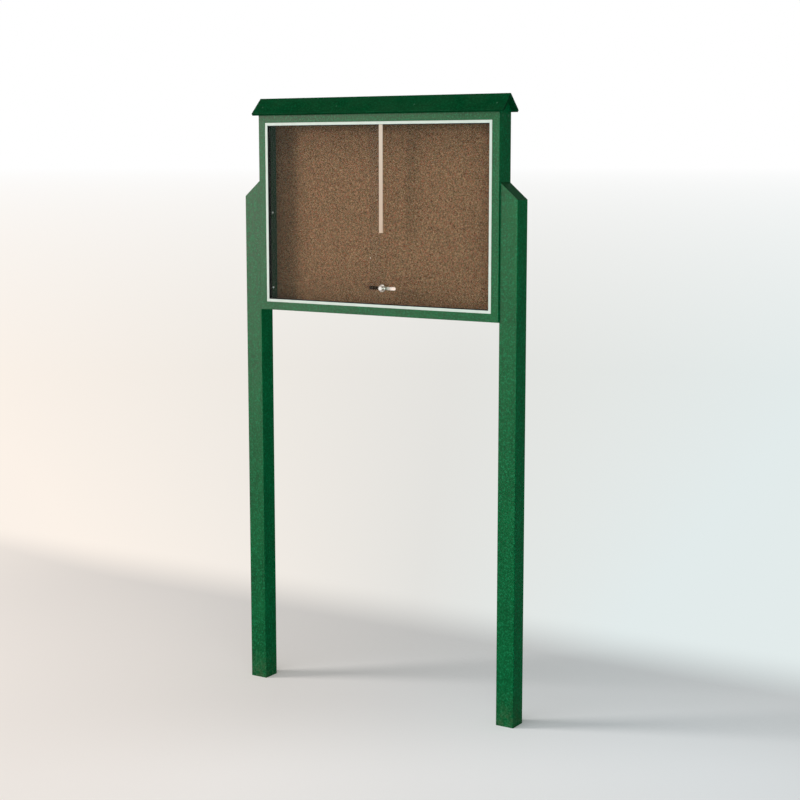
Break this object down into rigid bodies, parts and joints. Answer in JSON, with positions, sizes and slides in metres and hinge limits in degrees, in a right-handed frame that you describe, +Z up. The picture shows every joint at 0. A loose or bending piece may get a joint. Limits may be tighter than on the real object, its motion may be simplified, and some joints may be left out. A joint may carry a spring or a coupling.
{
  "type": "lockable notice board",
  "caption": "Free-standing outdoor notice board: a gabled cork cabinet between two posts, with sliding clear panes and a ratchet lock on a toothed bar.",
  "frame": {"origin": "on the ground, midway between the two posts and on the plane through their centres", "axes": "+Z up, +X to the right seen from the front, +Y towards the back, so the panes face -Y"},
  "size_m": [1.4732, 0.1424, 2.8194],
  "materials": {
    "lumber": "matt dark green recycled-plastic lumber, finely speckled, eased edges",
    "roof_sheet": "matt dark green plastic board, finely speckled",
    "back_sheet": "matt dark green plastic sheet",
    "cork": "coarse brown cork",
    "dark_extrusion": "matt near-black aluminium extrusion",
    "white_trim": "white enamelled aluminium bar",
    "rubber": "soft black vinyl",
    "steel": "bright stainless steel",
    "green_screws": "green coated steel",
    "clear_pane": "clear, polished edges",
    "cream_strip": "satin cream extrusion",
    "chrome": "polished chrome plate",
    "brass": "plain stamped brass",
    "plug_metal": "bright turned metal"
  },
  "bodies": {
    "stand": {"post_left": "lumber", "post_right": "lumber", "side_board_left": "lumber", "side_board_right": "lumber", "top_rail": "lumber", "bottom_rail": "lumber", "roof_board_front": "roof_sheet", "roof_board_rear": "roof_sheet", "back_panel": "back_sheet", "cork_board": "cork", "track_top": "dark_extrusion", "track_bottom": "dark_extrusion", "jamb_left": "dark_extrusion", "jamb_right": "dark_extrusion", "trim_top": "white_trim", "trim_bottom": "white_trim", "trim_left": "white_trim", "trim_right": "white_trim", "bumper_left": "rubber", "bumper_right": "rubber", "lag_screws_left": "steel", "lag_screws_right": "steel", "corner_screws": "green_screws", "back_screws": "green_screws", "roof_screws": "green_screws"},
    "front_pane": {"pane_front": "clear_pane", "pull_strip": "cream_strip"},
    "rear_pane": {"pane_rear": "clear_pane", "ratchet_bar": "chrome", "hook_boot": "rubber"},
    "lock": {"lock_case": "chrome", "lock_back_plate": "chrome"},
    "key_plug": {"lock_plug": "plug_metal", "plug_wafers": "brass", "plug_clip": "steel"},
    "pawl": {"lock_pawl": "steel"}
  },
  "joints": [
    {"name": "front_pane_slide", "type": "slide", "parent": "stand", "child": "front_pane", "axis": [1, 0, 0], "range_m": [0, 0.44]},
    {"name": "rear_pane_slide", "type": "slide", "parent": "stand", "child": "rear_pane", "axis": [1, 0, 0], "range_m": [-0.55, 0]},
    {"name": "lock_slide", "type": "slide", "parent": "front_pane", "child": "lock", "axis": [1, 0, 0], "range_m": [0, 0.09]},
    {"name": "plug_turn", "type": "hinge", "parent": "lock", "child": "key_plug", "pos_m": [0.0413, -0.0652, 1.955], "axis": [0, 1, 0], "range_deg": [0, 90]},
    {"name": "pawl_drop", "type": "slide", "parent": "lock", "child": "pawl", "axis": [0, 0, -1], "range_m": [0, 0.00241]}
  ],
  "couplings": [
    {"joint": "pawl_drop", "follows": "plug_turn", "m_per_rad": 0.0015305}
  ]
}
